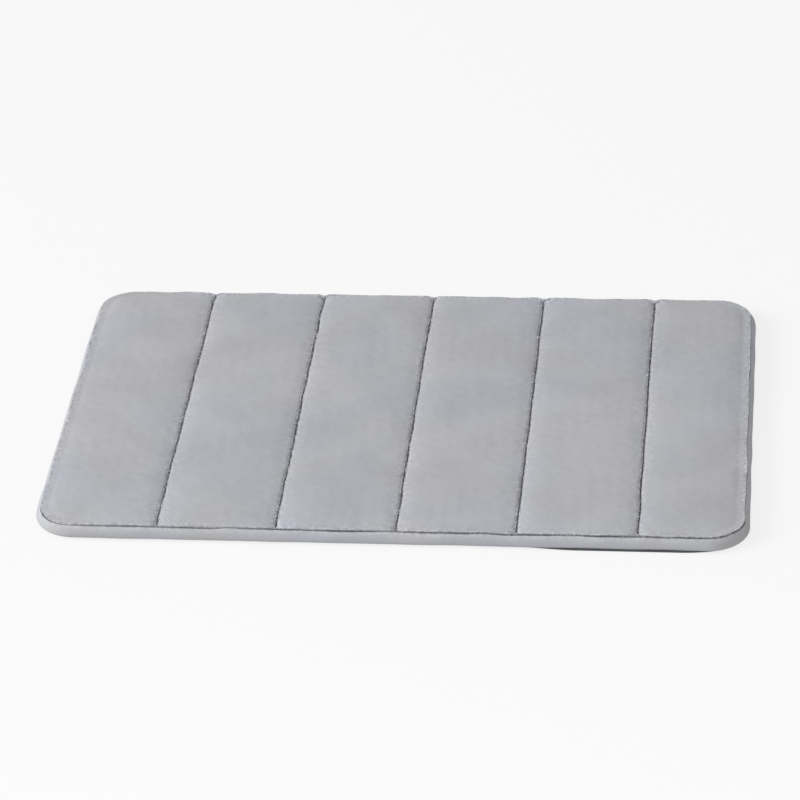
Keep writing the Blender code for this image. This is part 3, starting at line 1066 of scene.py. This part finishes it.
# %% Floor
WHITE = (1.0, 1.0, 1.0, 1.0)
FLOOR_HALF, FLOOR_DROP = 8.0, 0.0002
FLOOR_GREY, FLOOR_GLOW = (0.15, 0.15, 0.15, 1.0), 0.77
corners = [(x * FLOOR_HALF, y * FLOOR_HALF, 0.0) for x, y in ((-1, -1), (1, -1), (1, 1), (-1, 1))]
floor_mesh = bpy.data.meshes.new("studio_floor")
floor_mesh.from_pydata(corners, [], [(0, 1, 2, 3)])
floor = put("studio_floor", floor_mesh)
floor.location.z = -FLOOR_DROP
floor_finish, _, floor_shader, _ = new_finish("studio_floor")
set_inputs(floor_shader, {"Base Color": FLOOR_GREY, "Roughness": 0.9, "Specular IOR Level": 0.1})
set_inputs(floor_shader, {"Emission Color": WHITE, "Emission Strength": FLOOR_GLOW})
floor_mesh.materials.append(floor_finish)
print("floor:", 2 * FLOOR_HALF, "m wide")

# %% Backdrop
SKY_LIGHT, SKY_SHOWN = 0.60, 0.95
world = bpy.data.worlds.new("studio")
world.use_nodes = True
studio = world.node_tree
sky = studio.nodes["Background"]
backdrop = studio.nodes.new("ShaderNodeBackground")
for shade, strength in ((sky, SKY_LIGHT), (backdrop, SKY_SHOWN)):
    set_inputs(shade, {"Color": WHITE, "Strength": strength})
seen = studio.nodes.new("ShaderNodeLightPath")
behind = studio.nodes.new("ShaderNodeMixShader")
studio.links.new(seen.outputs["Is Camera Ray"], behind.inputs["Fac"])
studio.links.new(sky.outputs["Background"], behind.inputs[1])
studio.links.new(backdrop.outputs["Background"], behind.inputs[2])
studio.links.new(behind.outputs["Shader"], studio.nodes["World Output"].inputs["Surface"])
bpy.context.scene.world = world
print("backdrop: lights at", SKY_LIGHT, "and shows at", SKY_SHOWN)

# %% Lights
KEY_WAY, KEY_RANGE = Vector((-0.86, -0.18, 0.42)).normalized(), 8.0
MIDDLE = Vector((0.0, 0.0, 0.0))


def soft_light(name, width, depth, energy, place, aim):
    """A rectangular lamp at a place; its direction is the aim less the place."""
    light = bpy.data.lights.new(name, "AREA")
    light.shape = "RECTANGLE"
    light.size, light.size_y = width, depth
    light.energy = energy
    lamp = put(name, light)
    lamp.location = place
    lamp.rotation_euler = (aim - place).to_track_quat("-Z", "Y").to_euler()
    return lamp


lamps = [
    soft_light("soft_key", 4.8, 3.6, 688.0, KEY_WAY * KEY_RANGE, MIDDLE),
    soft_light("front_fill", 1.6, 0.6, 4.0, Vector((0.0, -1.1, 0.75)), Vector((0.0, -0.05, 0.0))),
]
bpy.context.scene.view_settings.view_transform = "Standard"
print("lamps at", [[round(part, 2) for part in lamp.location] for lamp in lamps])

# %% Camera
TURN, RISE, ROLL = math.radians(6.34), math.radians(31.19), math.radians(-2.25)
TARGET = Vector((-0.0101, 0.0345, 0.0))
RANGE = 3.5215
back = Vector((math.sin(TURN) * math.cos(RISE), -math.cos(TURN) * math.cos(RISE), math.sin(RISE)))
right = Vector((math.cos(TURN), math.sin(TURN), 0.0))
up = back.cross(right)
rolled_right = right * math.cos(ROLL) + up * math.sin(ROLL)
rolled_up = up * math.cos(ROLL) - right * math.sin(ROLL)
lens = bpy.data.cameras.new("camera")
lens.lens = 180.0
lens.sensor_width = 36.0
lens.clip_end = 50.0
camera = put("camera", lens)
placed = Matrix((rolled_right, rolled_up, back)).transposed().to_4x4()
placed.translation = TARGET + back * RANGE
camera.matrix_world = placed
bpy.context.scene.camera = camera
print("camera at", [round(part, 3) for part in placed.translation])
